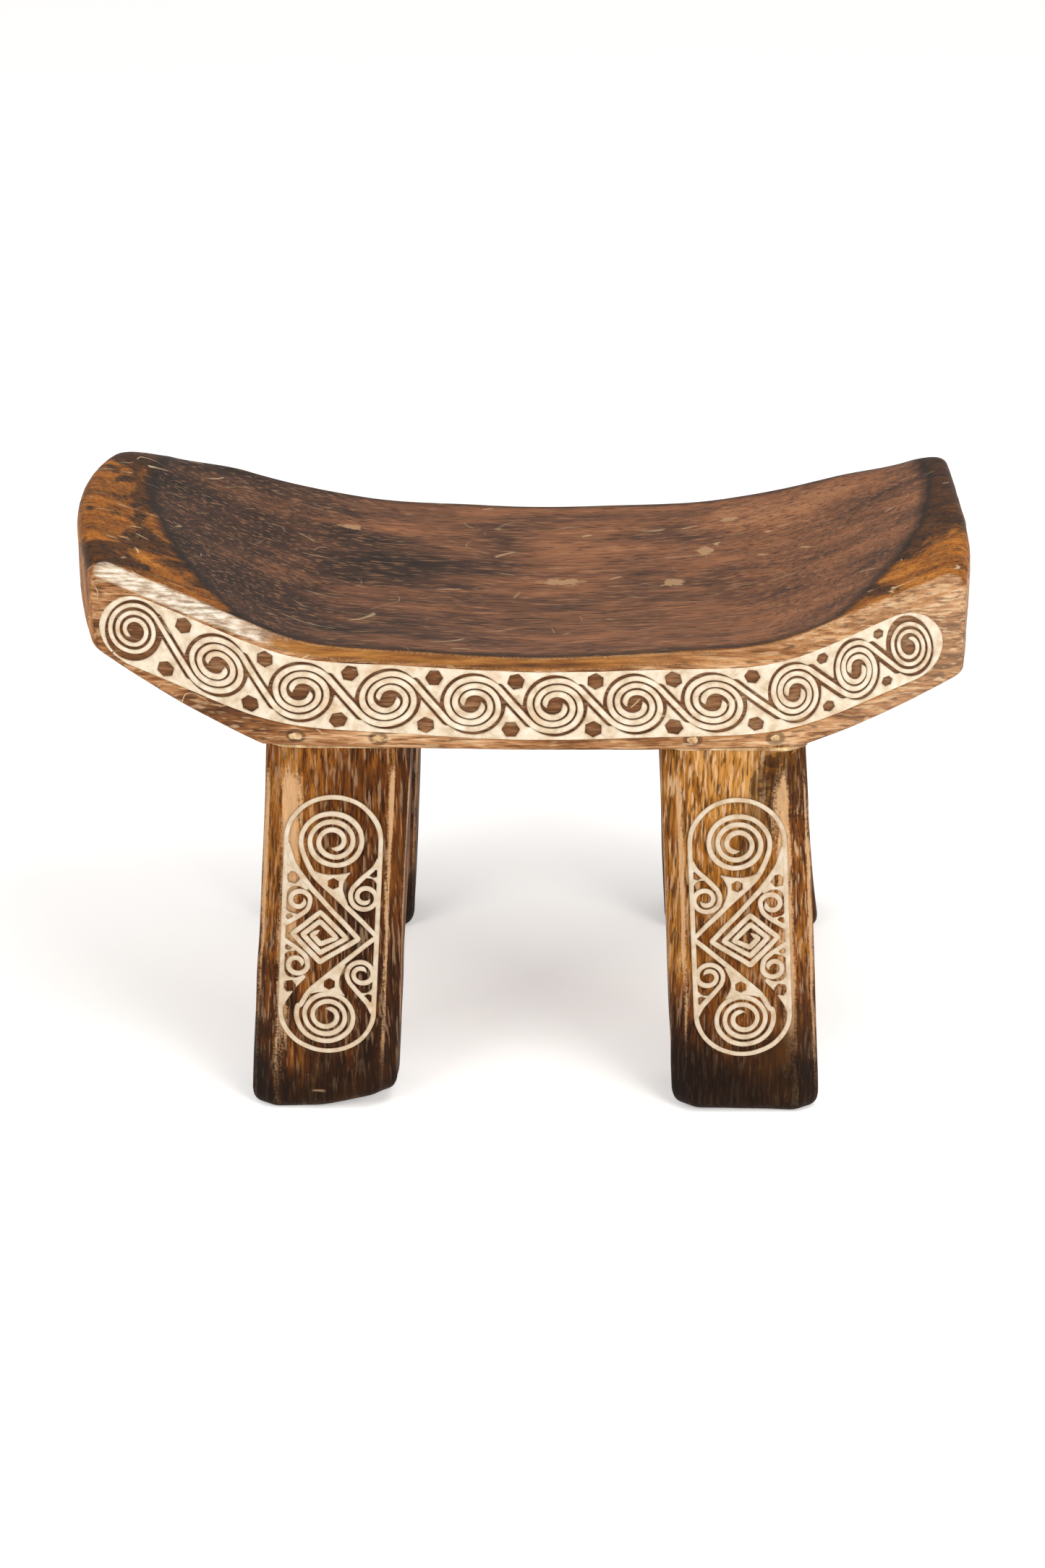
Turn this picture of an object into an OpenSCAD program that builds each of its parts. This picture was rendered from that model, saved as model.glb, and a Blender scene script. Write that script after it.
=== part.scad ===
// Carved four-legged headrest: a dished saddle block, four splayed legs tenoned
// and pegged into it, and lime-filled spiral carving on the faces.
// +Z up, front towards -Y, origin on the floor under the middle of the outline.

/* [Seat block] */
// Overall width over the two rounded ends
seat_w = 420; // [340:5:500]
// Depth over the bowed front and rear faces, at mid width
seat_d = 204; // [170:2:240]
// Height of the flat underside above the floor
seat_z = 185; // [150:1:220]
// Thickness of the block at mid width, under the rim
seat_t = 47; // [42:1:58]
// How far the legs, arch and dish sit to the right of the outline's middle
carving_shift = 7.5; // [0:0.5:10]
// Sideways half span over which the arch rise is measured
arch_span = 200; // [170:5:230]
// Rise of the rim over that half span
arch_rise = 40; // [30:1:48]
// Bow of the front and rear faces, centre to end
face_bow = 16; // [8:1:20]
// Bow of the left end face
end_bow_left = 14; // [4:1:18]
// Bow of the right end face
end_bow_right = 7; // [4:1:18]
// Half width of the flat underside
flat_half = 128; // [118:1:140]
// Rise of the left wing's underside at its end
wing_rise_left = 46; // [30:1:50]
// Rise of the right wing's underside at its end
wing_rise_right = 38; // [30:1:50]
// Chamfer along the front and rear top edges
rim_chamfer = 5; // [2:0.5:7]

/* [Dish] */
// Half length of the dish, middle to end
dish_half = 186; // [165:1:195]
// Depth of the dish below the rim at its middle
dish_depth = 6; // [4:0.5:10]
// Depth that is left where the dish runs out over the front and rear edges
dish_edge_depth = 2; // [1:0.25:3]
// Level width of the dish floor across the block
dish_floor = 120; // [80:5:140]

/* [Legs] */
// Inner side of each leg from the mid plane, at the shoulder
leg_inner = 57.5; // [50:0.5:66]
// Outer side of each leg from the mid plane, at the shoulder
leg_outer = 124.5; // [112:0.5:128]
// Outward run of the inner side from shoulder to foot
leg_inner_run = 8.5; // [0:0.5:16]
// Outward run of the outer side from shoulder to foot, front legs
leg_outer_run = 11.5; // [0:0.5:20]
// The same on the rear legs, which flare a little more
rear_outer_run = 18; // [0:0.5:24]
// Leg thickness from front to rear
leg_t = 42; // [34:1:50]
// Set-back of the leg's face behind the seat's face
leg_setback = 2; // [1:0.5:5]
// Run of each leg towards the front or the rear, shoulder to foot
leg_run = 15.5; // [0:0.5:24]
// Width of the chamfer on the leg's show corners
leg_chamfer_w = 9; // [4:0.5:12]
// Depth of the same chamfer
leg_chamfer_d = 6; // [3:0.5:9]
// Chamfer on the leg's hidden corners
leg_back_chamfer = 3; // [1:0.5:6]
// Worn bevel round the foot
foot_bevel = 3; // [1:0.5:6]

/* [Joints] */
// Tenon width, side to side
tenon_w = 50; // [44:1:56]
// Tenon thickness, front to rear
tenon_t = 20; // [14:1:24]
// Tenon height above the shoulder
tenon_h = 27; // [20:1:32]
// Gap between the tenon and its mortise on each cheek and at the top
tenon_gap = 0.3; // [0.1:0.1:1]
// Peg diameter
peg_d = 4.6; // [3:0.2:6]
// Height of the peg's middle above the shoulder
peg_z = 5.4; // [4:0.2:10]
// Spacing of the two pegs in one tenon
peg_spacing = 38; // [28:1:42]
// How far a peg runs on past the tenon
peg_past = 6; // [2:1:12]
// Height of the filler bead under the seat
bead_h = 2.4; // [1:0.2:4]
// Width of the filler bead
bead_w = 1.8; // [1:0.2:3]

/* [Limework] */
// Depth of the recess that holds the lime
lime_t = 1.4; // [1:0.1:2.5]
// Depth of the carved grooves below the lime's face
groove_depth = 1; // [0.5:0.1:2]
// Height of the band across the block, in the middle
band_h = 36; // [28:1:38]
// How much lower the band is at its ends
band_taper = 6; // [2:0.5:8]
// Drop of the band's top edge below the rim
band_drop = 6; // [6:0.5:10]
// Number of spirals in the band
spiral_count = 11; // [7:1:13]
// Arc position of the first spiral from the arch's middle
band_left = -191; // [-194:1:-170]
// Spacing of the first two spirals
spiral_pitch = 42.4; // [36:0.2:43]
// How much each spacing is shorter than the one before
pitch_loss = 1.2; // [0.8:0.05:1.4]
// Width of a raised rib
rib_w = 2.7; // [2:0.1:3.5]
// Width of a carved groove
groove_w = 1.6; // [1:0.1:2.5]
// Radius of the eye in each spiral
eye_r = 3.6; // [2.5:0.1:5]
// Radius of the pits between the spirals
pit_r = 2.6; // [1.5:0.1:3.5]
// Height of the leg ribs above the wood
rib_h = 0.9; // [0.5:0.1:1.5]
// Width of the panel on each leg
panel_w = 48; // [38:1:50]
// Height of the panel on each leg
panel_h = 132; // [110:1:140]
// Drop of the panel's top below the leg's shoulder
panel_drop = 25; // [15:1:35]

/* [Hidden] */
eps = 0.01;
big = 400;
arc_fn = 360;
rib_fn = 48;
rim_z = seat_z + seat_t;
arch_r = (pow(arch_span, 2) + pow(arch_rise, 2)) / (2 * arch_rise);
arch_z = rim_z + arch_r;
bow_r = (pow(seat_w / 2, 2) + pow(face_bow, 2)) / (2 * face_bow);
bow_y = bow_r - seat_d / 2;
end_half = seat_d / 2 - face_bow;
half_floor = dish_floor / 2;
leg_mid = (leg_inner + leg_outer) / 2;
tenon_y = seat_d / 2 - sag(leg_mid, bow_r) - leg_setback - leg_t / 2;
leg_front = tenon_y + leg_t / 2;
leg_slope = leg_run / (seat_z - foot_bevel);
band_top_r = arch_r + band_drop;
band_end_s = spiral_s(spiral_count - 1);

// Distance that a circle of radius r falls away at x from its crown
function sag(x, r) = r - sqrt(pow(r, 2) - pow(x, 2));
// Arc position of spiral i along the band
function spiral_s(i) = band_left + spiral_pitch * i - pitch_loss * i * (i - 1) / 2;
// Height of the band at arc position s
function band_h_at(s) = band_h - band_taper * pow(s / band_left, 2);
// Radius of the band's middle line there
function band_mid(s) = band_top_r + band_h_at(s) / 2;
// Angle of an arc position about the arch's axis
function band_angle(s) = s / band_mid(0) * 180 / PI;
// Half of the smaller spacing beside spiral i, or the band's own limit
function spiral_size(i) = min(
  band_h_at(spiral_s(i)) / 2 - groove_w,
  (i < spiral_count - 1 ? spiral_s(i + 1) - spiral_s(i) : spiral_s(i) - spiral_s(i - 1)) / 2 - groove_w / 2
);

// ---- seat ----

// Underside of one wing, from the flat to the end
function wing_points(rise, side) =
  let (run = seat_w / 2 - flat_half)
  [for (t = [0:0.125:1]) [side * (flat_half + run * t), seat_z + rise * (0.72 * t + 0.28 * t * t)]];

module front_outline() {
  left = wing_points(wing_rise_left, -1);
  right = wing_points(wing_rise_right, 1);
  polygon(concat(
    right,
    [[seat_w / 2 + 1, seat_z + wing_rise_right], [seat_w / 2 + 1, big], [-seat_w / 2 - 1, big]],
    [[-seat_w / 2 - 1, seat_z + wing_rise_left]],
    [for (i = [len(left) - 1:-1:0]) left[i]]
  ));
}

// Upright cylinder that bows the front face; inset moves the surface inwards
module bow_body(inset) {
  translate([0, bow_y, 0]) cylinder(r = bow_r - inset, h = big, $fn = 4 * arc_fn);
}

module end_body(bow, side) {
  r = (pow(end_half, 2) + pow(bow, 2)) / (2 * bow);
  translate([side * (seat_w / 2 - r), 0, 0]) cylinder(r = r, h = big, $fn = arc_fn);
}

module block_plan(inset) {
  intersection() {
    bow_body(inset);
    mirror([0, 1, 0]) bow_body(inset);
  }
}

// Drum that hollows the block's top to the rim's arch
module arch_drum(r) {
  translate([carving_shift, 0, arch_z]) rotate([90, 0, 0])
    cylinder(r = r, h = seat_d + 20, center = true, $fn = arc_fn);
}

// Barrel that scoops the dish: level across its floor, then rising to the rim
module dish_barrel() {
  rim_sag = sag(dish_half, arch_r);
  rise = rim_sag + dish_depth;
  r = (pow(dish_half, 2) + pow(rise, 2)) / (2 * rise);
  edge = seat_d / 2;
  profile = [for (y = [half_floor:(edge + 1 - half_floor) / 4:edge + 1.1])
    [r - (dish_depth - dish_edge_depth) * pow((y - half_floor) / (edge - half_floor), 2), y]];
  translate([carving_shift, 0, rim_z - dish_depth + r]) rotate([90, 0, 0])
    rotate_extrude($fn = arc_fn)
      polygon(concat(
        [[0, -edge - 1]],
        [for (i = [len(profile) - 1:-1:0]) [profile[i][0], -profile[i][1]]],
        profile,
        [[0, edge + 1]]
      ));
}

// Flats cut along the front top edge, each tangent to the arch and to the bow, overlapping a little
module rim_flats() {
  steps = 14;
  span = 46;
  length = 1.4 * arch_r * span / steps * PI / 180;
  for (i = [0:steps - 1]) {
    a = (i - (steps - 1) / 2) * span / steps;
    x = carving_shift + arch_r * sin(a);
    z = arch_z - arch_r * cos(a);
    translate([x, -seat_d / 2 + sag(x, bow_r), z]) rotate([0, -a, 0]) rotate([0, 0, asin(x / bow_r)])
      rotate([45, 0, 0]) translate([-length / 2, -20, -rim_chamfer / sqrt(2)]) cube([length, 40, 20]);
  }
}

// Point at radius r and arc position s, about the arch's axis
function band_point(r, s) = r * [sin(band_angle(s)), -cos(band_angle(s))];

// Round end of the band at arc position s; side is -1 on the left and 1 on the right
function band_cap(s, side) =
  let (a = band_angle(s), along = [cos(a), sin(a)], up = [-sin(a), cos(a)])
  [for (t = [15:15:165])
    band_point(band_mid(s), s) + band_h_at(s) / 2 * (side * sin(t) * along + side * cos(t) * up)];

// Outline of the band, drawn about the arch's axis
module band_ring() {
  steps = 36;
  stations = [for (k = [0:steps]) band_left + (band_end_s - band_left) * k / steps];
  polygon(concat(
    [for (s = stations) band_point(band_top_r, s)],
    band_cap(band_end_s, 1),
    [for (k = [steps:-1:0]) band_point(band_top_r + band_h_at(stations[k]), stations[k])],
    band_cap(band_left, -1)
  ));
}

// Sends a drawing in the arch's own plane through the whole block
module on_front() {
  translate([carving_shift, 0, arch_z]) rotate([90, 0, 0]) linear_extrude(seat_d) children();
}

module band_recess() {
  difference() {
    on_front() band_ring();
    bow_body(lime_t);
  }
}

module peg_bore(x) {
  translate([x, -seat_d / 2 - 1, seat_z + peg_z]) rotate([-90, 0, 0])
    cylinder(d = peg_d, h = seat_d / 2 + 1 - tenon_y + tenon_t / 2 + peg_past, $fn = rib_fn);
}

module mortise(x) {
  translate([x - tenon_w / 2 - tenon_gap, -tenon_y - tenon_t / 2 - tenon_gap, seat_z - 1])
    cube([tenon_w + 2 * tenon_gap, tenon_t + 2 * tenon_gap, tenon_h + tenon_gap + 1]);
}

module seat() {
  color("#6b4426") difference() {
    intersection() {
      translate([0, seat_d / 2 + 1, 0]) rotate([90, 0, 0]) linear_extrude(seat_d + 2) front_outline();
      block_plan(0);
      end_body(end_bow_left, -1);
      end_body(end_bow_right, 1);
    }
    arch_drum(arch_r);
    dish_barrel();
    for (turn = [0, 1]) mirror([0, turn, 0]) {
      rim_flats();
      band_recess();
      for (side = [-1, 1]) {
        mortise(carving_shift + side * leg_mid);
        for (k = [-1, 1]) peg_bore(carving_shift + side * leg_mid + k * peg_spacing / 2);
      }
    }
  }
}

// ---- legs ----

// Section of a leg, seen from above, for a front leg on the right; grow widens it all round
function leg_section(inner, outer, face, grow) = [
  [inner - grow, face - leg_chamfer_d],
  [inner + leg_chamfer_w, face + grow],
  [outer - leg_chamfer_w, face + grow],
  [outer + grow, face - leg_chamfer_d],
  [outer + grow, face - leg_t + leg_back_chamfer],
  [outer - leg_back_chamfer, face - leg_t - grow],
  [inner + leg_back_chamfer, face - leg_t - grow],
  [inner - grow, face - leg_t + leg_back_chamfer],
];

module leg_shaft(outer_run) {
  hull() {
    translate([0, 0, seat_z - eps]) linear_extrude(eps)
      polygon(leg_section(leg_inner, leg_outer, leg_front, 0));
    translate([0, 0, foot_bevel]) linear_extrude(eps)
      polygon(leg_section(leg_inner + leg_inner_run, leg_outer + outer_run, leg_front + leg_run, 0));
    linear_extrude(eps)
      polygon(leg_section(leg_inner + leg_inner_run, leg_outer + outer_run, leg_front + leg_run, -foot_bevel));
  }
}

// Puts a piece drawn for the right, with its face towards +Y, at one corner
module at_corner(corner) {
  side = (corner == "front_left" || corner == "rear_left") ? 1 : 0;
  turn = (corner == "front_left" || corner == "front_right") ? 1 : 0;
  translate([carving_shift, 0, 0]) mirror([side, 0, 0]) mirror([0, turn, 0]) children();
}

function outer_run_at(corner) =
  (corner == "front_left" || corner == "front_right") ? leg_outer_run : rear_outer_run;

module tenon() {
  translate([leg_mid - tenon_w / 2, tenon_y - tenon_t / 2, seat_z - eps])
    cube([tenon_w, tenon_t, tenon_h + eps]);
}

module peg_body(k) {
  depth = seat_d / 2 - tenon_y + tenon_t / 2 + peg_past;
  translate([leg_mid + k * peg_spacing / 2, seat_d / 2 + 1, seat_z + peg_z]) rotate([90, 0, 0])
    cylinder(d = peg_d, h = depth + 1, $fn = rib_fn);
}

module leg(corner) {
  color("#8a5a2c") at_corner(corner) difference() {
    union() {
      leg_shaft(outer_run_at(corner));
      tenon();
    }
    for (k = [-1, 1]) peg_body(k);
  }
}

module peg(corner, k) {
  color("#d9b98a") intersection() {
    at_corner(corner) peg_body(k);
    block_plan(0);
  }
}

module bead(corner) {
  color("#e6d6b4") at_corner(corner) difference() {
    translate([0, 0, seat_z - bead_h]) linear_extrude(bead_h)
      polygon(leg_section(leg_inner, leg_outer, leg_front, bead_w));
    leg_shaft(outer_run_at(corner));
  }
}

// ---- limework ----

// Half of a ring, drawn on the side that half points to
module half_ring(r, w, half) {
  intersection() {
    difference() {
      circle(r = r + w / 2, $fn = rib_fn);
      circle(r = r - w / 2, $fn = rib_fn);
    }
    translate([-2 * r - w, half > 0 ? 0 : -2 * r - w]) square([4 * r + 2 * w, 2 * r + w]);
  }
}

// Spiral of half rings struck from two centres, each a step wider than the last
module spiral(r_start, r_end, w, pitch) {
  turns = floor(2 * (r_end - r_start) / pitch);
  for (k = [0:turns - 1]) {
    half = k % 2 == 0 ? 1 : -1;
    translate([half * pitch / 4, 0]) half_ring(r_start + k * pitch / 2, w, half);
  }
}

module band_grooves() {
  for (i = [0:spiral_count - 1]) let (s = spiral_s(i))
    rotate(band_angle(s)) translate([0, -band_mid(s)]) {
      circle(r = eye_r, $fn = rib_fn);
      spiral(eye_r + rib_w + groove_w / 2, spiral_size(i), groove_w, rib_w + groove_w);
    }
  for (i = [0:spiral_count - 2]) let (s = (spiral_s(i) + spiral_s(i + 1)) / 2)
    for (v = [-1, 1]) rotate(band_angle(s)) translate([0, -band_mid(s) + v * (band_h_at(s) / 2 - pit_r - rib_w)])
      circle(r = pit_r, $fn = 6);
}

module band_lime(turn) {
  color("#efe6d2") mirror([0, turn, 0]) difference() {
    intersection() {
      on_front() band_ring();
      bow_body(0);
    }
    bow_body(lime_t);
    difference() {
      on_front() band_grooves();
      bow_body(groove_depth);
    }
  }
}

module stadium(w, h) {
  square([w, h - w], center = true);
  for (v = [-1, 1]) translate([0, v * (h - w) / 2]) circle(d = w, $fn = arc_fn / 4);
}

// One leg's pattern, flat, with its top towards +Y
module panel_drawing() {
  big_r = panel_w / 2 - rib_w - groove_w;
  big_v = (panel_h - panel_w) / 2;
  small_r = panel_w / 7;
  pitch = rib_w + groove_w;
  difference() {
    stadium(panel_w, panel_h);
    stadium(panel_w - 2 * rib_w, panel_h - 2 * rib_w);
  }
  for (v = [-1, 1]) translate([0, v * big_v]) {
    spiral(eye_r, big_r, rib_w, pitch);
    for (u = [-1, 1]) translate([u * panel_w * 0.28, -v * panel_w * 0.62])
      spiral(eye_r / 2, small_r, rib_w / 2, pitch * 0.8);
  }
  for (k = [0:1]) rotate(45) difference() {
    square(panel_w * 0.52 - k * 2 * pitch, center = true);
    square(panel_w * 0.52 - k * 2 * pitch - 2 * rib_w, center = true);
  }
}

module panel_lime(corner) {
  drop = panel_drop + panel_h / 2;
  side_slope = (leg_inner_run + outer_run_at(corner)) / 2 / (seat_z - foot_bevel);
  color("#efe6d2") at_corner(corner)
    translate([leg_mid + side_slope * drop, leg_front + leg_slope * drop, seat_z - drop])
      rotate([90 + atan(leg_slope), -atan(side_slope), 0])
        mirror([0, 0, 1]) linear_extrude(rib_h) panel_drawing();
}

seat();
leg("front_left");  // leg_front_left
leg("front_right");  // leg_front_right
leg("rear_left");  // leg_rear_left
leg("rear_right");  // leg_rear_right
peg("front_left", 1);  // peg_front_left_outer
peg("front_left", -1);  // peg_front_left_inner
peg("front_right", -1);  // peg_front_right_inner
peg("front_right", 1);  // peg_front_right_outer
peg("rear_left", 1);  // peg_rear_left_outer
peg("rear_left", -1);  // peg_rear_left_inner
peg("rear_right", -1);  // peg_rear_right_inner
peg("rear_right", 1);  // peg_rear_right_outer
bead("front_left");  // bead_front_left
bead("front_right");  // bead_front_right
bead("rear_left");  // bead_rear_left
bead("rear_right");  // bead_rear_right
band_lime(0);  // band_lime_front
band_lime(1);  // band_lime_rear
panel_lime("front_left");  // panel_lime_front_left
panel_lime("front_right");  // panel_lime_front_right
panel_lime("rear_left");  // panel_lime_rear_left
panel_lime("rear_right");  // panel_lime_rear_right
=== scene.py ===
import itertools
import math

import bmesh
import bpy
import numpy as np
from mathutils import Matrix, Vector


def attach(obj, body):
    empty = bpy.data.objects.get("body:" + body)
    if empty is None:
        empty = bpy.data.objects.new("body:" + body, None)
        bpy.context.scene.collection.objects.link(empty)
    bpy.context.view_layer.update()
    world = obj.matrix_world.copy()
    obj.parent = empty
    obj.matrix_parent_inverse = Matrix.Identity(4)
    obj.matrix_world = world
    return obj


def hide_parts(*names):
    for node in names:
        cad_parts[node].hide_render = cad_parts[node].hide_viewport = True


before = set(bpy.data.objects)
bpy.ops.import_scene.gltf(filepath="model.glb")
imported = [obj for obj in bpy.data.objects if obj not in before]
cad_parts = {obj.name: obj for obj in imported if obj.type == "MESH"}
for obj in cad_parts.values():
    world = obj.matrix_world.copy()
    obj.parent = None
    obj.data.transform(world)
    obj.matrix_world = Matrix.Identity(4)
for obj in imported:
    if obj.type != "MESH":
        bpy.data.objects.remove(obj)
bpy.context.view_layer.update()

# ---- sizes, in millimetres ----

MM = 0.001
CORNERS = ("front_left", "front_right", "rear_left", "rear_right")

# the block: x runs from left to right, y from front to rear, z up from the floor
SHIFT = 7.5  # arch, dish, band and legs are centred this far to the right
ARCH_R = 520
ARCH_Z = 752
BOW_R = 1386.125
HALF_W = 210
HALF_D = 102
END_HALF = 86  # half the depth at the ends
END_BOW = 14
RIGHT_BOW = (7, 1.5)  # the right end, towards the front and towards the rear
SEAT_Z = 185
CHAMFER = 4.2
CHAMFER_MORE = 2.0
RIM_WEAR = 6.3
RISE_LEFT = 56
RISE_RIGHT = 38

DISH_X = 188
DISH_Y = 190
DISH_MID_Y = 45
DISH_DEPTH = 7.5

SPIRALS = 11
BAND_LEFT = -186.7
PITCH = 40.2
ARC_R = 544  # places along the band are arc lengths at this radius
BAND_R = 544.1  # the band's middle line
BAND_HALF = 17.2
BAND_ENDS = (-203.0, 188.0)
REAR_ALONG = 0.93
REAR_ACROSS = 0.8
REAR_DROP = 5
RECESS = 1.1
RIB_W = 2.7
GROOVE_W = 1.25
RIB_TOP = 0.3

LEG_INNER = 57.5
LEG_OUTER = 124.5
LEG_MID = 91
LEG_DROP = 182  # the height over which a leg runs out
INNER_RUN = 8.5
OUTER_RUN = dict(zip(CORNERS, (11.5, 11.5, 18.0, 22.5)))
LEG_T = 42
LEG_RUN = 15.5
FACE_Y = 97.0
FOOT_ROUND = 8
FOOT_TUCK = 5
FOOT_WEAR = dict(zip(CORNERS, (7.5, 1.5, 3, 4)))

PEG_Z = 190.4
PEG_SPACING = 38
PEG_R = 2.3
PEG_SIDES = 24
PEG_WIDTH = {"left_outer": 1.45, "left_inner": 1.15, "right_inner": 1.1, "right_outer": 1.0}

PANEL_MID = -2.8
PANEL_HALF = 22
PANEL_RIB = (1.22, 1.05)  # half width and height
PANEL_LIME = 0.75

# ---- shapes as functions ----

SCATTER = np.array([73856093, 19349663, 83492791])


def signs(corner):
    """Side (-1 left, 1 right) and turn (-1 front, 1 rear) of a corner."""
    end, side = corner.split("_")
    return -1 if side == "left" else 1, -1 if end == "front" else 1


def ramp(t):
    """Smooth step from 0 to 1."""
    t = np.clip(t, 0, 1)
    return t * t * (3 - 2 * t)


def smooth_max(a, b, k):
    """The larger of two distances, with the corner between them rounded over k."""
    h = np.clip(k - np.abs(a - b), 0, None) / k
    return np.maximum(a, b) + h * h * k / 4


def lumps(p, size, seed):
    """Smooth uneven values from -1 to 1 over points p, in lumps of the given size."""
    q = np.asarray(p, float) / size + 17.31 * seed + 400
    cell = np.floor(q).astype(np.int64)
    f = q - cell
    f = f * f * (3 - 2 * f)
    total = np.zeros(len(q))
    for corner in itertools.product((0, 1), repeat=q.shape[1]):
        c = cell + np.array(corner)
        h = (c * SCATTER[: q.shape[1]]).sum(1) & 0xFFFFFFFF
        h = ((h ^ (h >> 13)) * 1274126177) & 0xFFFFFFFF
        h = ((h ^ (h >> 16)) * 2246822519) & 0xFFFFFFFF
        weight = np.prod(np.where(np.array(corner), f, 1 - f), axis=1)
        total += weight * (h / 2147483648.0 - 1)
    return total


def unit(directions):
    return directions / np.linalg.norm(directions, axis=-1, keepdims=True)


def face_depth(x):
    """Depth of the bowed front and rear faces from the middle."""
    return HALF_D - BOW_R + np.sqrt(BOW_R**2 - x**2)


def chamfer(x):
    """Size of the chamfer along the top edges; wider towards the ends."""
    return CHAMFER + CHAMFER_MORE * ramp((np.abs(x) - 80) / 80)


def hollow(x):
    """How far the worn front rim lies under a true arch, either side of the middle."""
    return RIM_WEAR * np.exp(-(((np.abs(x - SHIFT) - 110) / 40) ** 2))


def dish_inside(x, y):
    """1 at the dish's middle, 0 on its edge, negative outside."""
    return 1 - ((x - SHIFT) / DISH_X) ** 2 - ((y - DISH_MID_Y) / DISH_Y) ** 2


def top_height(x, y):
    """The arch, worn low at the front rim, a little raised at the rear, and dished."""
    front = np.clip((60 - y) / 120, 0, 1)
    rim = ARCH_Z - np.sqrt(ARCH_R**2 - (x - SHIFT) ** 2) - hollow(x) * front
    inside = np.clip(dish_inside(x, y), 0, 1)
    near_front = np.clip(-y / HALF_D, 0, 1)
    dish = DISH_DEPTH * (1 - (1 - inside) ** 2.2) * (1 - 0.7 * near_front**2)
    back = np.clip((y + 60) / 160, 0, 1) ** 1.3
    away = np.abs(x - SHIFT)
    return rim - dish + back * (4.0 - 2.5 * ramp((away - 30) / 60) - 5.5 * ramp((away - 145) / 50))


def underside(x):
    """Flat over the legs, rising towards the ends."""
    left = np.clip((-x - 118) / 92, 0, None)
    right = np.clip((x - 128) / 82, 0, None)
    return (
        SEAT_Z
        + RISE_LEFT * (0.72 * left + 0.28 * left**2)
        + RISE_RIGHT * (0.72 * right + 0.28 * right**2)
    )


def spiral_s(i):
    """Place of spiral i along the band; they draw closer towards the right, with one wide gap."""
    return BAND_LEFT + PITCH * i - 0.0431 * i**3 + 5.0 * math.exp(-((i - 8.3) ** 2))


def band_radius(s):
    """Radius of the band's middle line about the arch's axis."""
    both_sides = RIM_WEAR * np.exp(-(((np.abs(s) - 115) / 42) ** 2))
    right = 2.0 * np.exp(-(((s - 95) / 50) ** 2))
    return BAND_R + both_sides + right


def band_edge(s, v):
    """Distance inside the band's outline; negative outside."""
    left, right = BAND_ENDS
    run = np.where(s < 0, np.where(v > 0, 16.0, 20.0), 18.0)
    past = np.where(s < 0, left + run - s, s - right + run)
    lean = np.hypot(np.clip(past, 0, None) / run, v / BAND_HALF)
    return np.where(past > 0, (1 - lean) * np.minimum(run, BAND_HALF), BAND_HALF - np.abs(v))


def on_band(x, z, turn=-1):
    """Place of a face's point along and across its band; the rear one is smaller and lower."""
    s = ARC_R * np.arctan2(x - SHIFT, ARCH_Z - z)
    v = band_radius(s) - np.hypot(x - SHIFT, ARCH_Z - z)
    rear = turn > 0
    return np.where(rear, s / REAR_ALONG, s), np.where(rear, (v + REAR_DROP) / REAR_ACROSS, v)


def wrap_on_band(p, turn):
    """Carries flat work (along, across, height) onto the bowed face."""
    s, v, h = p.T
    if turn > 0:
        s, v = s * REAR_ALONG, v * REAR_ACROSS - REAR_DROP
    r = band_radius(s) - v
    x = SHIFT + r * np.sin(s / ARC_R)
    z = ARCH_Z - r * np.cos(s / ARC_R)
    y = turn * (face_depth(x) + h * np.sqrt(1 - (x / BOW_R) ** 2))
    return np.column_stack([x + h * x / BOW_R, y, z])


def leg_frame(corner):
    """Middle of a leg's face, and the directions right, up and out of it."""
    side, turn = signs(corner)
    lean = (INNER_RUN + OUTER_RUN[corner]) / 2 / LEG_DROP
    slope = LEG_RUN / LEG_DROP
    drop = LEG_DROP / 2
    x = SHIFT + side * (LEG_MID + lean * drop)
    middle = np.array([x, turn * (FACE_Y + slope * drop), SEAT_Z - drop])
    up = Vector((-side * lean, -turn * slope, 1)).normalized()
    out = Vector((0, turn, slope)).normalized()
    right = Vector((1, 0, 0)) - up * up.x
    right.normalize()
    return middle, np.array(right), np.array(up), np.array(out)


# ---- mesh helpers ----


def mesh_piece(name, points, faces, marks=None):
    """A smooth mesh object from points in millimetres; marks are values kept at each point."""
    mesh = bpy.data.meshes.new(name)
    mesh.from_pydata((np.asarray(points) * MM).tolist(), [], [list(map(int, f)) for f in faces])
    mesh.validate()
    for key, values in (marks or {}).items():
        mark = mesh.attributes.new(key, "FLOAT", "POINT")
        mark.data.foreach_set("value", np.asarray(values, np.float32))
    mesh.shade_smooth()
    piece = bpy.data.objects.new(name, mesh)
    bpy.context.collection.objects.link(piece)
    return piece


def face_out(piece):
    """Turns all of a piece's faces outwards."""
    bm = bmesh.new()
    bm.from_mesh(piece.data)
    bmesh.ops.recalc_face_normals(bm, faces=bm.faces)
    bm.to_mesh(piece.data)
    bm.free()
    return piece


def tube_faces(rings, per):
    """Faces of a closed tube made of rings of points."""
    faces = []
    for r in range(rings - 1):
        for i in range(per):
            j = (i + 1) % per
            faces.append((r * per + i, r * per + j, (r + 1) * per + j, (r + 1) * per + i))
    return faces + [tuple(range(per)), tuple(range((rings - 1) * per, rings * per))]


def add_node(tree, kind, settings, sockets):
    """A node with its settings, a ramp's stops among them, and then its sockets."""
    made = tree.nodes.new(kind)
    for key, value in settings.items():
        if key == "stops":
            stops = made.color_ramp.elements
            while len(stops) < len(value):
                stops.new(1.0)
            for stop, (position, shade) in zip(stops, value):
                stop.position = position
                stop.color = colour(shade)
        else:
            setattr(made, key, value)
    for key, value in sockets.items():
        if isinstance(value, bpy.types.NodeSocket):
            tree.links.new(value, made.inputs[key])
        else:
            made.inputs[key].default_value = value
    return made


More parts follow.
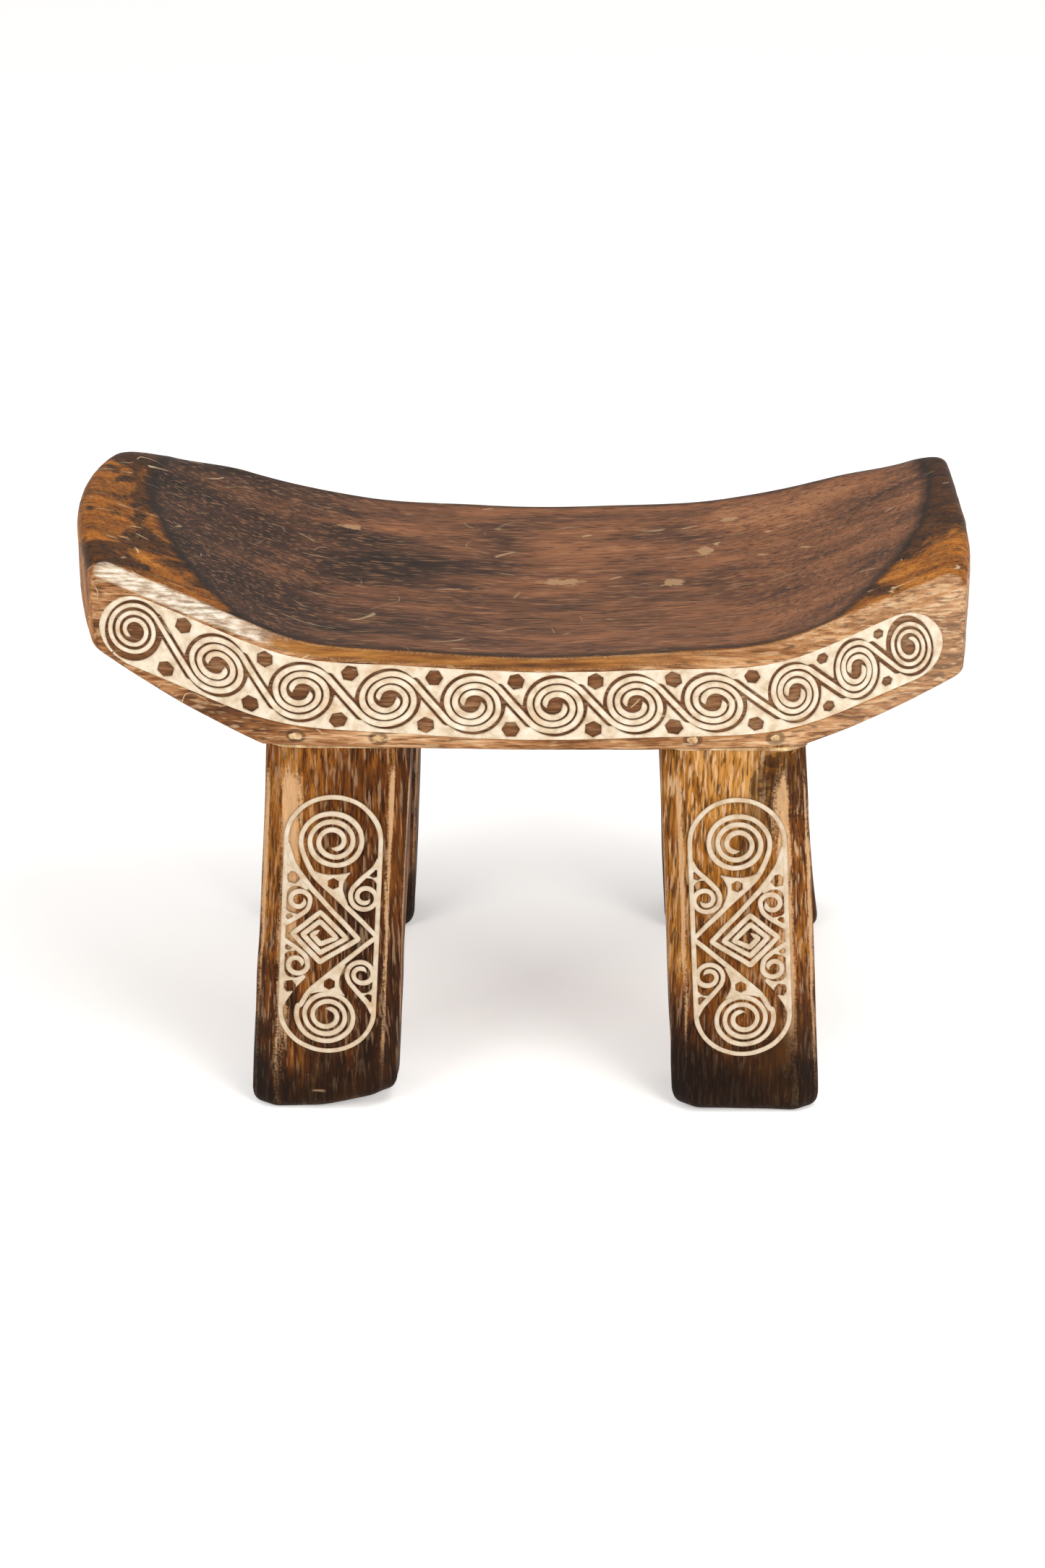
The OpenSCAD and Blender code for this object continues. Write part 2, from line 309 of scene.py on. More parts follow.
def squares(ids):
    """The four corners of each cell in a grid of points."""
    return np.stack([ids[:-1, :-1], ids[1:, :-1], ids[1:, 1:], ids[:-1, 1:]], -1)


def block_lattice(nx, ny, nz):
    """Points (as whole steps) and square faces over the outside of a block."""
    ids = -np.ones((nx + 1, ny + 1, nz + 1), int)
    i, j, k = np.indices(ids.shape)
    skin = (i == 0) | (i == nx) | (j == 0) | (j == ny) | (k == 0) | (k == nz)
    ids[skin] = np.arange(skin.sum())
    steps = np.column_stack([i[skin], j[skin], k[skin]])
    faces = []
    for axis in range(3):
        for end in (0, -1):
            sheet = np.take(ids, end, axis=axis)
            quads = squares(sheet).reshape(-1, 4)
            faces.append(quads[:, ::-1] if (end == 0) != (axis == 1) else quads)
    return steps, np.vstack(faces)


# ---- seat ----


def seat_walls(p):
    """Distances outside each wall of the block: front, rear, ends, top and underside."""
    x, y, z = p.T
    top = top_height(x, y)
    depth = face_depth(x)
    s, v = on_band(x, z, y)
    cut = RECESS * ramp((band_edge(s, v) - 0.3) / 1.3)
    front = -y - depth + cut
    rear = y - depth + cut
    front_chamfer = (z - top - (y + depth) + chamfer(x)) / math.sqrt(2)
    rear_chamfer = (z - top - (depth - y) + chamfer(x)) / math.sqrt(2)
    left = -x - HALF_W + END_BOW * (y / END_HALF) ** 2
    right = x - HALF_W + np.where(y < 0, *RIGHT_BOW) * (y / END_HALF) ** 2
    ends = np.maximum(left, right)
    return front, front_chamfer, rear, rear_chamfer, ends, (z - top) * 0.94, underside(x) - z


def seat_gap(p):
    """Distance outside the block, with its corners rounded as each one is worn."""
    front, front_chamfer, rear, rear_chamfer, ends, top, under = seat_walls(p)
    far = ramp((np.abs(p[:, 0]) - 140) / 60)
    gap = smooth_max(top, ends, 13)
    gap = smooth_max(gap, smooth_max(rear, rear_chamfer, 5), 4 + np.where(p[:, 0] < 0, 18, 9) * far)
    show = smooth_max(front, front_chamfer, 0.8)
    gap = smooth_max(smooth_max(gap, show, 0.9), smooth_max(ends, show, 4), 1.0)
    return smooth_max(gap, under, 2.5)


def settle(p, gap, rounds=6, reach=0.05):
    """Moves points onto the surface where gap is zero."""
    for _ in range(rounds):
        g = gap(p)
        slope = np.column_stack([(gap(p + d) - g) / reach for d in np.eye(3) * reach])
        size = np.clip((slope**2).sum(1), 0.25, None)
        p = p - np.clip(g / size, -4, 4)[:, None] * slope
    return p


def make_seat():
    nx, ny, nz = 264, 124, 40
    steps, faces = block_lattice(nx, ny, nz)
    a = steps[:, 0] / nx * 2 - 1
    b = np.interp(steps[:, 1], [0, 9, ny - 9, ny], [-1, -0.93, 0.93, 1])
    c = np.interp(steps[:, 2], [0, nz - 9, nz], [0, 0.84, 1])
    x = a * (HALF_W - np.where(a < 0, END_BOW, np.where(b < 0, *RIGHT_BOW)) * b**2)
    y = b * face_depth(x)
    low = underside(x)
    p = np.column_stack([x, y, low + c * (top_height(x, y) - low)])
    p = settle(p, seat_gap)
    walls = np.column_stack(seat_walls(p))
    bevel = ramp(1.5 - np.abs(walls[:, [1, 3]]).min(1) / 0.5)
    walls.sort(axis=1)
    arris = np.exp(walls[:, -2] / 1.6)
    x, y, z = p.T
    slope = np.hypot(2 * (x - SHIFT) / DISH_X**2, 2 * (y - DISH_MID_Y) / DISH_Y**2)
    from_face = face_depth(x) - np.abs(y)
    dish = np.minimum(dish_inside(x, y) / np.clip(slope, 1e-4, None), from_face - chamfer(x) - 2.5)
    dish = np.where(z > underside(x) + 20, dish, -30)
    carved = np.where(np.abs(from_face) < 3, ramp(band_edge(*on_band(x, z, y)) / 1.5), 0)
    dish = np.clip(dish, -40, 40)
    wing = ramp((np.abs(x) - 120) / 60)
    marks = {"arris": arris, "dish": dish, "carved": carved, "wing": wing, "bevel": bevel}
    # hand-cut unevenness, none under the limework
    uneven = 0.55 * lumps(p, 45, 1) + 0.3 * lumps(p, 16, 2) + 0.12 * lumps(p, 6, 3)
    uneven *= (1 - carved) * (1 - 0.8 * arris)
    out = unit(p - np.array([0, 0, 222]))
    return mesh_piece("seat_block", p + uneven[:, None] * out, faces, marks)


# ---- legs ----


def leg_section(t, outer_run):
    """Corners of a leg's section seen from above, a fraction t of the way down."""
    inner = LEG_INNER + INNER_RUN * t
    outer = LEG_OUTER + outer_run * t
    face = FACE_Y + LEG_RUN * t
    back = face - LEG_T
    return np.array([
        [inner, face - 6], [inner + 9, face], [outer - 9, face], [outer, face - 6],
        [outer, back + 4], [outer - 4, back], [inner + 4, back], [inner, back + 4],
    ])


def rounded_ring(corners, bend=2.2, flat_steps=12, bend_steps=4):
    """Points round a polygon with its corners eased."""
    ring = []
    for before, here, after in zip(np.roll(corners, 1, 0), corners, np.roll(corners, -1, 0)):
        a = here + unit(before - here) * bend
        b = here + unit(after - here) * bend
        c = after + unit(here - after) * bend
        for t in np.linspace(0, 1, bend_steps):
            ring.append((1 - t) ** 2 * a + 2 * t * (1 - t) * here + t * t * b)
        for t in np.linspace(0, 1, flat_steps + 1)[1:-1]:
            ring.append(b + (c - b) * t)
    return np.array(ring)


def make_leg(corner):
    side, turn = signs(corner)
    foot = FOOT_ROUND - FOOT_ROUND * np.sin(np.linspace(0.12, 1, 7) * math.pi / 2)
    heights = np.concatenate([[SEAT_Z + 1.5], np.linspace(SEAT_Z, FOOT_ROUND, 86), foot])
    rings = []
    for z in heights:
        t = np.clip((SEAT_Z - z) / LEG_DROP, 0, 1)
        ring = rounded_ring(leg_section(t, OUTER_RUN[corner]))
        if z < FOOT_ROUND:
            tuck = FOOT_TUCK * (1 - math.sqrt(max(0, 1 - ((FOOT_ROUND - z) / FOOT_ROUND) ** 2)))
            ring = ring - unit(ring - ring.mean(0)) * tuck
        rings.append(np.column_stack([ring, np.full(len(ring), z)]))
    last = rings[-1]
    sole = last[:, :2].mean(0)
    for shrink in (0.75, 0.4):
        ring = last.copy()
        ring[:, :2] = sole + (last[:, :2] - sole) * shrink
        rings.append(ring)
    per = len(last)
    p = np.vstack(rings)
    faces = tube_faces(len(rings), per)

    place = (np.arange(len(p)) % per) / per * 8
    near = np.abs(place - np.round(place)) * 8
    arris = np.exp(-((near / 0.8) ** 2)) * ramp((180 - p[:, 2]) / 20)
    arris = np.maximum(arris, 0.8 * ramp((7 - p[:, 2]) / 7))

    # hand-cut unevenness, away from the leg's middle line
    ends = [0, SEAT_Z + 1]
    low = p[per * 80 :, 0].mean()
    middle_x = np.interp(p[:, 2], ends, [low, LEG_MID])
    middle_y = np.interp(p[:, 2], ends, [FACE_Y + LEG_RUN - LEG_T / 2, FACE_Y - LEG_T / 2])
    p = p * [side, turn, 1]
    out = unit(p[:, :2] - np.column_stack([middle_x, middle_y]) * [side, turn])
    seed = 5 + CORNERS.index(corner)
    uneven = 0.8 * lumps(p * [1, 1, 0.5], 38, seed) + 0.35 * lumps(p * [1, 1, 0.6], 13, seed + 4)
    p[:, :2] += out * uneven[:, None] * ramp((184 - p[:, 2]) / 30)[:, None]

    # the foot's inner corner is worn away
    inner = ramp((-side * (p[:, 0] - side * 106)) / 38)
    lift = FOOT_WEAR[corner] * inner * ramp((turn * p[:, 1] - 78) / 30)
    p[:, 2] += lift * np.clip(1 - p[:, 2] / 45, 0, 1)
    p[:, 0] += SHIFT
    return face_out(mesh_piece("leg_" + corner + "_carved", p, faces, {"arris": arris}))


# ---- ribs, made along paths by one node tree ----


def rib_tree():
    tree = bpy.data.node_groups.new("raised_rib", "GeometryNodeTree")
    inputs = tree.interface
    inputs.new_socket("Geometry", in_out="INPUT", socket_type="NodeSocketGeometry")
    for key, value in (("Half width", 1.2), ("Height", 1.0), ("Step", 0.7)):
        socket = inputs.new_socket(key, in_out="INPUT", socket_type="NodeSocketFloat")
        socket.default_value = value
    inputs.new_socket("Finish", in_out="INPUT", socket_type="NodeSocketMaterial")
    inputs.new_socket("Geometry", in_out="OUTPUT", socket_type="NodeSocketGeometry")

    def node(kind, mode=None, **links):
        settings = {"mode": mode} if mode else {}
        return add_node(tree, kind, settings, {key.replace("_", " "): links[key] for key in links})

    given = node("NodeGroupInput")
    path, step = given.outputs["Geometry"], given.outputs["Step"]
    even = node("GeometryNodeResampleCurve", "LENGTH", Curve=path, Length=step)
    level = node("GeometryNodeSetCurveNormal", "Z_UP", Curve=even.outputs[0])
    square = node("GeometryNodeCurvePrimitiveQuadrilateral", Width=2.0, Height=2.0)
    ring = node("GeometryNodeFilletCurve", "POLY", Curve=square.outputs[0], Count=3, Radius=0.72)
    half_width, height = given.outputs["Half width"], given.outputs["Height"]
    size = node("ShaderNodeCombineXYZ", X=half_width, Y=height, Z=1.0)
    oval = node("GeometryNodeTransform", Geometry=ring.outputs[0], Scale=size.outputs[0])
    path, profile = level.outputs[0], oval.outputs[0]
    sweep = node("GeometryNodeCurveToMesh", Curve=path, Profile_Curve=profile, Fill_Caps=True)
    # where the sweep takes its width from a socket and not from the path's own radius
    if "Scale" in sweep.inputs:
        tree.links.new(node("GeometryNodeInputRadius").outputs[0], sweep.inputs["Scale"])
    smooth = node("GeometryNodeSetShadeSmooth", Geometry=sweep.outputs[0])
    real = node("GeometryNodeRealizeInstances", Geometry=smooth.outputs[0])
    finish = given.outputs["Finish"]
    done = node("GeometryNodeSetMaterial", Geometry=real.outputs[0], Material=finish)
    node("NodeGroupOutput", Geometry=done.outputs[0])
    return tree


RIBS = rib_tree()


def ribs_mesh(name, paths, half_width, height, finish, step=0.7):
    """Flat ribs along paths of (along, across, width factor); returns their points and faces."""
    curve = bpy.data.curves.new(name, "CURVE")
    curve.dimensions = "3D"
    for path in paths:
        path = np.asarray(path)
        closed = np.allclose(path[0], path[-1])
        if closed:
            path = path[:-1]
        spline = curve.splines.new("POLY")
        spline.points.add(len(path) - 1)
        flat = np.column_stack([path[:, :2], np.zeros(len(path)), np.ones(len(path))])
        spline.points.foreach_set("co", flat.ravel())
        spline.points.foreach_set("radius", path[:, 2])
        spline.use_cyclic_u = bool(closed)
    carrier = bpy.data.objects.new(name, curve)
    bpy.context.collection.objects.link(carrier)
    modifier = carrier.modifiers.new("ribs", "NODES")
    modifier.node_group = RIBS
    given = {"Half width": half_width, "Height": height, "Step": step, "Finish": finish}
    for item in RIBS.interface.items_tree:
        if item.name in given:
            modifier[item.identifier] = given[item.name]
    graph = bpy.context.evaluated_depsgraph_get()
    mesh = bpy.data.meshes.new_from_object(carrier.evaluated_get(graph), depsgraph=graph)
    points = np.empty(len(mesh.vertices) * 3)
    mesh.vertices.foreach_get("co", points)
    points = points.reshape(-1, 3)
    faces = [tuple(polygon.vertices) for polygon in mesh.polygons]
    carrier.modifiers.remove(modifier)
    bpy.data.objects.remove(carrier)
    bpy.data.meshes.remove(mesh)
    return points, faces


# ---- plates of lime, made from a distance rule ----


def plate_mesh(field, low, high, step, height, floor, edge=0.9, reach=0.05):
    """A flat plate where field is positive: points (along, across, height) and faces."""
    nu = int((high[0] - low[0]) / step) + 1
    nv = int((high[1] - low[1]) / step) + 1
    along, across = low[0] + step * np.arange(nu + 1), low[1] + step * np.arange(nv + 1)
    u, v = np.meshgrid(along, across, indexing="ij")
    f = field(u.ravel(), v.ravel())
    keep = (f > -0.45 * step).reshape(u.shape)
    cells = keep[:-1, :-1] & keep[1:, :-1] & keep[1:, 1:] & keep[:-1, 1:]
    ids = np.arange(u.size).reshape(u.shape)
    quads = squares(ids)[cells]
    used, quads = np.unique(quads, return_inverse=True)
    quads = quads.reshape(-1, 4)
    p = np.column_stack([u.ravel()[used], v.ravel()[used]])
    sides = np.vstack([quads[:, [k, (k + 1) % 4]] for k in range(4)])
    keys = np.sort(sides, axis=1)
    _, first, counts = np.unique(keys, axis=0, return_index=True, return_counts=True)
    rim = sides[first[counts == 1]]
    on_rim = np.unique(rim)
    for _ in range(3):
        q = p[on_rim]
        g = field(q[:, 0], q[:, 1])
        gu = (field(q[:, 0] + reach, q[:, 1]) - g) / reach
        gv = (field(q[:, 0], q[:, 1] + reach) - g) / reach
        size = np.clip(gu**2 + gv**2, 0.3, None)
        move = np.clip(g / size, -step, step)
        p[on_rim] = q - np.column_stack([gu * move, gv * move])
    depth = np.clip(field(p[:, 0], p[:, 1]), 0, None)
    depth[on_rim] = 0
    round_off = 1 - np.clip(1 - depth / edge, 0, 1) ** 2
    top = np.column_stack([p, floor + (height - floor) * (0.35 + 0.65 * np.sqrt(round_off))])
    count = len(p)
    bottom = np.column_stack([p, np.full(count, floor - 0.4)])
    walls = np.column_stack([rim[:, 1], rim[:, 0], rim[:, 0] + count, rim[:, 1] + count])
    faces = [tuple(q) for q in np.vstack([quads, quads[:, ::-1] + count, walls])]
    return np.vstack([top, bottom]), faces


def joined(*parts):
    """Points and faces of several meshes as one."""
    points, faces, count = [], [], 0
    for p, f in parts:
        points.append(p)
        faces += [tuple(int(i) + count for i in face) for face in f]
        count += len(p)
    return np.vstack(points), faces


def hexagon(u, v, cu, cv, r, turn):
    """Distance outside a six-sided pit."""
    angle = np.radians(np.array([0, 60, 120]) + turn)
    sides = [np.abs((u - cu) * math.cos(t) + (v - cv) * math.sin(t)) for t in angle]
    return np.max(sides, axis=0) - r


# ---- band of spirals ----


def coil_size(i):
    """Sideways squeeze of spiral i."""
    if i == 0:
        return 0.88
    here = min(i, SPIRALS - 2)
    return min(1.0, (spiral_s(here + 1) - spiral_s(here) + 1.5) / 38.5)


def coil_path(i, upper):
    """Rib from spiral i's eye outwards; upper leaves over its top, else under its bottom."""
    single = (i == 0) or (i == SPIRALS - 1)
    start = -450 if single else -20
    phi = np.radians(np.arange(start, 541, 4.0))
    grow = (phi - phi[0]) / math.radians(450 - start)
    r = 3.9 + 9.7 * grow
    k = coil_size(i)
    flip = 1 if upper else -1
    tip = 0.25 + 0.75 * ramp((phi - phi[0]) / 0.7)
    width = 0.5 * (1 + k) * (0.84 if single else 1.0) * tip
    along = spiral_s(i) - flip * k * r * np.cos(phi)
    return np.column_stack([along, flip * 0.93 * r * np.sin(phi), width])


def tangent_to(path, point):
    """The path cut where it heads straight for a point."""
    step = np.diff(path[:, :2], axis=0)
    aim = point - path[:-1, :2]
    turn = (step[:, 0] * aim[:, 1] - step[:, 1] * aim[:, 0]) / np.hypot(*step.T) / np.hypot(*aim.T)
    last = len(turn) - 24
    best = last + int(np.argmin(np.abs(turn[last:])))
    return path[: best + 1]


def band_links():
    """The S-shaped ribs that run from each eye to the next."""
    links = []
    for i in range(SPIRALS - 1):
        a = coil_path(i, True)
        b = coil_path(i + 1, False)
        ka, kb = coil_size(i), coil_size(i + 1)
        middle = np.array([(spiral_s(i) * kb + spiral_s(i + 1) * ka) / (ka + kb), 0.0])
        a = tangent_to(a, middle)
        b = tangent_to(b, middle)[::-1]
        links.append((a, b))
    return links


LINKS = band_links()


def to_segment(u, v, a, b):
    """Distance to a straight line between two points."""
    along = np.array(b) - np.array(a)
    t = np.clip(((u - a[0]) * along[0] + (v - a[1]) * along[1]) / max(along @ along, 1e-6), 0, 1)
    return np.hypot(u - a[0] - t * along[0], v - a[1] - t * along[1])


def band_plate(u, v):
    """Distance inside the flat lime of the band: positive between the spirals and round the edge."""
    inside = band_edge(u, v)
    half = RIB_W / 2 + GROOVE_W
    for i in range(SPIRALS):
        k = coil_size(i)
        cell = np.hypot((u - spiral_s(i)) / (k * 14.9), v / 15.3) - 1
        inside = np.minimum(inside, cell * 15.1 * k)
    for i, (a, b) in enumerate(LINKS):
        inside = np.minimum(inside, to_segment(u, v, a[-1, :2], b[0, :2]) - half)
        mid = (spiral_s(i) + spiral_s(i + 1)) / 2
        size = 3.6 * min(1, coil_size(i) * coil_size(i + 1) + 0.1)
        inside = np.minimum(inside, hexagon(u, v, mid + 0.8, 11.9, size, 11 * i))
        inside = np.minimum(inside, hexagon(u, v, mid - 1.2, -12.0, size, 23 * i))
    return inside


def wander(path, amount, seed):
    """A hand's unevenness along a path."""
    flat = np.column_stack([path[:, :2], np.zeros(len(path))])
    moved = path.copy()
    moved[:, 0] += amount * lumps(flat, 6, seed)
    moved[:, 1] += amount * lumps(flat, 6, seed + 1)
    moved[:, 2] *= 1 + 0.09 * lumps(flat, 9, seed + 2)
    return moved


def make_band(end, finish):
    turn = -1 if end == "front" else 1
    paths = [wander(np.vstack([a, b]), 0.16, 3) for a, b in LINKS]
    points, faces = ribs_mesh("ribs", paths, RIB_W / 2, RECESS + RIB_TOP, finish)
    points[:, 2] -= RECESS
    low = (BAND_ENDS[0] - 2, -BAND_HALF - 2)
    high = (BAND_ENDS[1] + 2, BAND_HALF + 2)
    plate = plate_mesh(band_plate, low, high, 0.5, 0.22, -RECESS)
    points, faces = joined((points, faces), plate)
    crown = (points[:, 2] + RECESS) / (RECESS + RIB_TOP)
    flat = points * [1, 1, 0]
    points[:, 2] += 0.06 * lumps(flat, 2.2, 8) + 0.08 * lumps(flat, 5, 9)
    placed = wrap_on_band(points, turn)
    return face_out(mesh_piece("lime_band_" + end, placed, faces, {"crown": crown}))


# ---- leg panels ----


def curl(centre, r_out, r_in, start, turns, squash=1.0):
    """A spiral from outside in; positive turns go anticlockwise."""
    t = np.linspace(0, 1, int(abs(turns) * 60) + 2)
    angle = np.radians(start) + 2 * math.pi * turns * t
    r = r_out + (r_in - r_out) * t
    return np.column_stack([centre[0] + r * np.cos(angle), centre[1] + squash * r * np.sin(angle)])


def through(*points, steps=10):
    """A smooth line through points."""
    p = np.array([points[0], *points, points[-1]], float)
    line = []
    for a, b, c, d in zip(p, p[1:], p[2:], p[3:]):
        for t in np.arange(steps) / steps:
            square = (2 * a - 5 * b + 4 * c - d) * t**2
            cube = (3 * b - a - 3 * c + d) * t**3
            line.append(0.5 * (2 * b + (c - a) * t + square + cube))
    return np.array(line + [p[-2]])


def with_width(path, width=1.0):
    """Adds a width factor that fades at the curl's inner tip."""
    path = np.asarray(path, float)
    along = np.concatenate([[0], np.cumsum(np.hypot(*np.diff(path, axis=0).T))])
    fade = 0.3 + 0.7 * ramp((along[-1] - along) / 3)
    return np.column_stack([path, width * fade])


def flip_up(path):
    """The path upside down on the panel."""
    path = np.array(path, float)
    path[:, 1] = 2 * PANEL_MID - path[:, 1]
    return path


def half_oval(start, middle, height):
    t = np.linspace(start, start + math.pi, 50)
    return np.column_stack([PANEL_HALF * np.cos(t), middle + height * np.sin(t)])


def panel_paths():
    """Ribs of one leg's panel, about its middle, for a leg on the left."""
    top = half_oval(0, 44.6, 21.6)
    outline = np.vstack([top, half_oval(math.pi, -42.5, 20.6), top[:1]])
    paths = [np.column_stack([outline, np.full(len(outline), 0.95)])]

    # a large coil at each end, led in from the frame's inner side
    for flip, rise, size, lower in ((False, 44.1, 1.0, 0), (True, 42.1 + PANEL_MID, 0.95, 0.6)):
        coil = curl((0, rise), 15.4 * size, 3.6, 200, -2.85, 0.98)
        lead = through(
            (PANEL_HALF, PANEL_MID), (8.0, 10.9 - lower),
            (-5.0, 23.0), (-9.6, 28.4), (-12.6, 34.2), coil[0],
        )
        path = np.vstack([lead[:-1], coil])
        paths.append(with_width(flip_up(path) if flip else path))

    # the square spiral between them
    cu, cv = -4.9, -4.6
    start = through((-21.8, 42), (-20.3, 38), (-18.2, 32), (-14.4, 26.2), (-10.0, 20.4), steps=8)
    corners = [(13.4, cv)]
    for r in (12.7, 8.0, 3.5):
        corners += [(cu + 0.6, cv - r), (cu - r, cv + 1), (cu, cv + r), (cu + r, cv)]
    line = [start]
    here = start[-1]
    for corner in np.array(corners[:-1], float):
        steps = max(2, int(np.hypot(*(corner - here)) / 1.5))
        line.append(here + (corner - here) * np.linspace(0, 1, steps + 1)[1:, None])
        here = corner
    paths.append(with_width(np.vstack(line), width=1.05))

    # a small curl at each side, above and below
    inner = through((-21.6, 1.2), (-15.6, 5.2), (-11.3, 8.8), (-10.0, 12.4), steps=8)
    outer = through((21.6, 36.5), (19.0, 31.6), (13.6, 25.8), (9.9, 21.4), steps=8)
    inner = np.vstack([inner, curl((-15.1, 13.5), 5.3, 2.3, 10, 1.05)])
    outer = np.vstack([outer, curl((15.6, 16.9), 7.0, 2.3, 162, 1.5)])
    for path in (inner, outer):
        paths.append(with_width(path, width=0.98))
        paths.append(with_width(flip_up(path), width=0.98))
    return paths


def polygon_field(u, v, corners):
    """Distance inside a polygon; negative outside."""
    corners = np.asarray(corners, float)
    inside = np.zeros(len(u), bool)
    near = np.full(len(u), 1e9)
    for a, b in zip(corners, np.roll(corners, -1, axis=0)):
        near = np.minimum(near, to_segment(u, v, a, b))
        cross = (a[1] > v) != (b[1] > v)
        with np.errstate(divide="ignore", invalid="ignore"):
            at = (b[0] - a[0]) * (v - a[1]) / (b[1] - a[1]) + a[0]
        inside ^= cross & (u < at)
    return np.where(inside, near, -near)


def panel_fills():
    """Small lime fields between the ribs: outline, and each one's pit (place, size)."""
    under_coil = np.vstack([
        through((-9.2, 29.2), (-4.4, 27.6), (2, 27.6), (8.8, 29.2), steps=6),
        through((8.8, 29.2), (6.0, 24.6), (5.4, 19.8), (8.2, 12.2), steps=6),
        [(5.6, 12.6), (-5.6, 23.4)],
    ])
    beside = np.vstack([
        [(-21.4, 38.5), (-19.6, 33.5), (-15.2, 25.8), (-10.4, 20.2)],
        through((-10.4, 20.2), (-11.8, 18.6), (-15.4, 20.4), (-19.4, 19.4), (-21.6, 14.2), steps=6),
    ])
    inner_foot = [(-21.8, 9.6), (-19.2, 7.4), (-14.6, 6.4), (-15.0, 4.6), (-21.8, 0.2)]
    outer_top = np.vstack([
        [(21.8, 38.0), (19.2, 32.2), (14.0, 26.2)],
        through((14.0, 26.2), (18.0, 26.4), (20.6, 24.0), (21.9, 19.6), steps=6),
    ])
    return [
        (under_coil, (0.6, 22.8), 2.4),
        (beside, (-18.2, 25.0), 2.7),
        (inner_foot, (-19.4, 5.0), 1.3),
        (outer_top, (19.2, 29.2), 2.0),
    ]


def panel_field(u, v):
    """Distance inside the panel's small lime fields; negative outside."""
    total = np.full(len(u), -9.0)
    for flip in (False, True):
        for n, (corners, pit, size) in enumerate(panel_fills()):
            vv = 2 * PANEL_MID - v if flip else v
            shape = polygon_field(u, vv, corners)
            shape = np.minimum(shape, hexagon(u, vv, pit[0], pit[1], size, 20 * n))
            total = np.maximum(total, shape)
    return total


def make_panel(corner, finish):
    side, _ = signs(corner)
    paths = [wander(path, 0.14, 4) for path in panel_paths()]
    points, faces = ribs_mesh("ribs", paths, *PANEL_RIB, finish, 0.6)
    plate = plate_mesh(panel_field, (-23, -66), (23, 66), 0.4, PANEL_LIME, -0.2, 0.7)
    points, faces = joined((points, faces), plate)
    crown = points[:, 2].copy()
    points[:, 2] += 0.05 * lumps(points * [1, 1, 0], 2.2, 8)
    points[:, 0] *= -side
    middle, right, up, out = leg_frame(corner)
    placed = middle + points[:, :1] * right + points[:, 1:2] * up + (points[:, 2:] + 0.12) * out
    return face_out(mesh_piece("lime_panel_" + corner, placed, faces, {"crown": crown}))


# ---- pegs and filler ----


def make_peg(corner, place):
    """A peg whose domed end grain stands just proud of the face."""
    side, turn = signs(corner)
    away = PEG_SPACING / 2 if place == "outer" else -PEG_SPACING / 2
    x = SHIFT + side * (LEG_MID + away)
    face = float(face_depth(np.array(x)))
    wide = PEG_WIDTH[corner.split("_")[1] + "_" + place]
    t = np.linspace(0, 2 * math.pi, PEG_SIDES + 1)[:-1]
    wobble = 1 + 0.07 * np.sin(3 * t + x) + 0.05 * np.sin(5 * t)
    rings = []
    for depth, r in ((50, PEG_R), (1, PEG_R), (0.1, PEG_R), (-0.25, 2.1), (-0.42, 1.5), (-0.48, 0.7)):
        y = np.full(PEG_SIDES, turn * (face - depth))
        z = PEG_Z + 0.8 * r * wobble * np.sin(t)
        rings.append(np.column_stack([x + wide * r * wobble * np.cos(t), y, z]))
    faces = tube_faces(len(rings), PEG_SIDES)
    return face_out(mesh_piece("peg_end_" + corner + "_" + place, np.vstack(rings), faces))


def make_bead(corner, finish):
    """Uneven line of filler where a leg meets the seat."""
    side, turn = signs(corner)
    ring = rounded_ring(leg_section(0, 0))
    flat = np.column_stack([ring, np.zeros(len(ring))])
    width = 0.75 + 0.45 * lumps(flat, 12, 20 + side + turn)
    path = np.column_stack([ring, width])
    points, faces = ribs_mesh("bead", [np.vstack([path, path[:1]])], 0.9, 0.9, finish, 1.0)
    x, y, z = points.T
    placed = np.column_stack([SHIFT + side * x, turn * y, SEAT_Z - 0.2 + z])
    return face_out(mesh_piece("joint_filler_" + corner, placed, faces))


# ---- finishes ----


def colour(text):
    """A linear colour from a six-digit sRGB one."""
    parts = [int(text[i : i + 2], 16) / 255 for i in (0, 2, 4)]
    return tuple(c / 12.92 if c < 0.04045 else ((c + 0.055) / 1.055) ** 2.4 for c in parts) + (1.0,)


class Value:
    """A value in a finish; arithmetic on numbers adds Math nodes."""

    def __init__(self, finish, socket):
        self.finish = finish
        self.socket = socket

    def maths(self, kind, *others):
        sockets = dict(enumerate((self, *others)))
        return self.finish.node("ShaderNodeMath", {"operation": kind}, sockets)

    def __add__(self, other):
        return self.maths("ADD", other)

    def __sub__(self, other):
        return self.maths("SUBTRACT", other)

    def __rsub__(self, other):
        return self.finish.node("ShaderNodeMath", {"operation": "SUBTRACT"}, {0: other, 1: self})

    def __mul__(self, other):
        return self.maths("MULTIPLY", other)

    def __pow__(self, other):
        return self.maths("POWER", other)

    __radd__ = __add__
    __rmul__ = __mul__

    def least(self, other):
        return self.maths("MINIMUM", other)

    def most(self, other):
        return self.maths("MAXIMUM", other)

    def step(self, low, high):
        """0 below low to 1 above high, smoothly; the other way round when low is the larger."""
        sockets = {"Value": self, "From Min": low, "From Max": high}
        return self.finish.node("ShaderNodeMapRange", {"interpolation_type": "SMOOTHSTEP"}, sockets)


